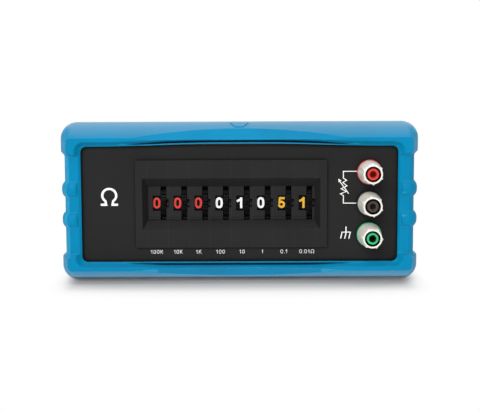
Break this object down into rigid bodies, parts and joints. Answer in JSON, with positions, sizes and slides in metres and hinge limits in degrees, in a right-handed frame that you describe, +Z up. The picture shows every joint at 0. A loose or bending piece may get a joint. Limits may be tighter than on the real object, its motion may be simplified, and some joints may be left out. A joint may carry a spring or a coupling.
{
  "type": "resistance decade box",
  "caption": "Bench box with a row of thumbwheel switches that set a resistance between two binding posts, in a rubber boot.",
  "frame": {"origin": "middle of the boot's flat underside, below the middle of the boot", "axes": "+X to the right of someone facing the panel, -Y out of the front panel, +Z up"},
  "size_m": [0.219, 0.1435, 0.0977],
  "materials": {
    "blue_rubber": "satin moulded rubber",
    "case_plastic": "fine texture",
    "panel_black": "matt overlay",
    "switch_black": "satin",
    "wheel_black": "satin",
    "cap_white": "satin nylon",
    "terminal_red": "gloss",
    "terminal_black": "gloss",
    "terminal_green": "gloss",
    "plated_brass": "nickel plate",
    "steel": "zinc plate",
    "board": "glass-fibre board",
    "resistor_blue": "epoxy",
    "tinned_copper": "tinned",
    "lead_insulation": "pvc"
  },
  "bodies": {
    "box": {"boot": "blue_rubber", "case_top": "case_plastic", "case_bottom": "case_plastic", "case_screws": "steel", "front_panel": "panel_black", "rear_panel": "panel_black", "left_end_cheek": "switch_black", "right_end_cheek": "switch_black", "switch_housing_1": "switch_black", "switch_housing_2": "switch_black", "switch_housing_3": "switch_black", "switch_housing_4": "switch_black", "switch_housing_5": "switch_black", "switch_housing_6": "switch_black", "switch_housing_7": "switch_black", "switch_housing_8": "switch_black", "switch_wafers": "board", "wheel_axles": "steel", "detent_springs": "steel", "decade_resistors": "resistor_blue", "link_wires": "tinned_copper", "tie_rods": "steel", "tie_rod_nuts": "steel", "retaining_clips": "steel", "red_terminal_base": "terminal_red", "red_terminal_tip": "terminal_red", "black_terminal_base": "terminal_black", "black_terminal_tip": "terminal_black", "green_terminal_base": "terminal_green", "green_terminal_tip": "terminal_green", "terminal_studs": "plated_brass", "terminal_rear_bushes": "case_plastic", "terminal_nuts": "plated_brass", "solder_tags": "plated_brass", "terminal_leads": "lead_insulation"},
    "wheel_1": {"thumbwheel_1": "wheel_black", "wiper_1": "plated_brass"},
    "wheel_2": {"thumbwheel_2": "wheel_black", "wiper_2": "plated_brass"},
    "wheel_3": {"thumbwheel_3": "wheel_black", "wiper_3": "plated_brass"},
    "wheel_4": {"thumbwheel_4": "wheel_black", "wiper_4": "plated_brass"},
    "wheel_5": {"thumbwheel_5": "wheel_black", "wiper_5": "plated_brass"},
    "wheel_6": {"thumbwheel_6": "wheel_black", "wiper_6": "plated_brass"},
    "wheel_7": {"thumbwheel_7": "wheel_black", "wiper_7": "plated_brass"},
    "wheel_8": {"thumbwheel_8": "wheel_black", "wiper_8": "plated_brass"},
    "red_washer": {"red_clamp_washer": "plated_brass"},
    "red_cap": {"red_terminal_cap": "cap_white", "red_thread_insert": "plated_brass"},
    "black_washer": {"black_clamp_washer": "plated_brass"},
    "black_cap": {"black_terminal_cap": "cap_white", "black_thread_insert": "plated_brass"},
    "green_washer": {"green_clamp_washer": "plated_brass"},
    "green_cap": {"green_terminal_cap": "cap_white", "green_thread_insert": "plated_brass"}
  },
  "joints": [
    {"name": "wheel_1_turn", "type": "hinge", "parent": "box", "child": "wheel_1", "pos_m": [-0.049, -0.0399, 0.0482], "axis": [1, 0, 0], "continuous": true, "deforming": ["detent_springs"]},
    {"name": "wheel_2_turn", "type": "hinge", "parent": "box", "child": "wheel_2", "pos_m": [-0.0363, -0.0399, 0.0482], "axis": [1, 0, 0], "continuous": true, "deforming": ["detent_springs"]},
    {"name": "wheel_3_turn", "type": "hinge", "parent": "box", "child": "wheel_3", "pos_m": [-0.0236, -0.0399, 0.0482], "axis": [1, 0, 0], "continuous": true, "deforming": ["detent_springs"]},
    {"name": "wheel_4_turn", "type": "hinge", "parent": "box", "child": "wheel_4", "pos_m": [-0.0109, -0.0399, 0.0482], "axis": [1, 0, 0], "continuous": true, "deforming": ["detent_springs"]},
    {"name": "wheel_5_turn", "type": "hinge", "parent": "box", "child": "wheel_5", "pos_m": [0.0018, -0.0399, 0.0482], "axis": [1, 0, 0], "continuous": true, "deforming": ["detent_springs"]},
    {"name": "wheel_6_turn", "type": "hinge", "parent": "box", "child": "wheel_6", "pos_m": [0.0145, -0.0399, 0.0482], "axis": [1, 0, 0], "continuous": true, "deforming": ["detent_springs"]},
    {"name": "wheel_7_turn", "type": "hinge", "parent": "box", "child": "wheel_7", "pos_m": [0.0272, -0.0399, 0.0482], "axis": [1, 0, 0], "continuous": true, "deforming": ["detent_springs"]},
    {"name": "wheel_8_turn", "type": "hinge", "parent": "box", "child": "wheel_8", "pos_m": [0.0399, -0.0399, 0.0482], "axis": [1, 0, 0], "continuous": true, "deforming": ["detent_springs"]},
    {"name": "red_cap_lift", "type": "slide", "parent": "box", "child": "red_washer", "axis": [0, -1, 0], "range_m": [0, 0.005]},
    {"name": "red_cap_turn", "type": "hinge", "parent": "red_washer", "child": "red_cap", "pos_m": [0.0785, -0.0585, 0.06725], "axis": [0, -1, 0], "range_deg": [0, 1800]},
    {"name": "black_cap_lift", "type": "slide", "parent": "box", "child": "black_washer", "axis": [0, -1, 0], "range_m": [0, 0.005]},
    {"name": "black_cap_turn", "type": "hinge", "parent": "black_washer", "child": "black_cap", "pos_m": [0.0785, -0.0585, 0.0482], "axis": [0, -1, 0], "range_deg": [0, 1800]},
    {"name": "green_cap_lift", "type": "slide", "parent": "box", "child": "green_washer", "axis": [0, -1, 0], "range_m": [0, 0.005]},
    {"name": "green_cap_turn", "type": "hinge", "parent": "green_washer", "child": "green_cap", "pos_m": [0.0785, -0.0585, 0.02915], "axis": [0, -1, 0], "range_deg": [0, 1800]}
  ],
  "couplings": [
    {"joint": "red_cap_turn", "follows": "red_cap_lift", "rad_per_m": 6283.2},
    {"joint": "black_cap_turn", "follows": "black_cap_lift", "rad_per_m": 6283.2},
    {"joint": "green_cap_turn", "follows": "green_cap_lift", "rad_per_m": 6283.2}
  ]
}
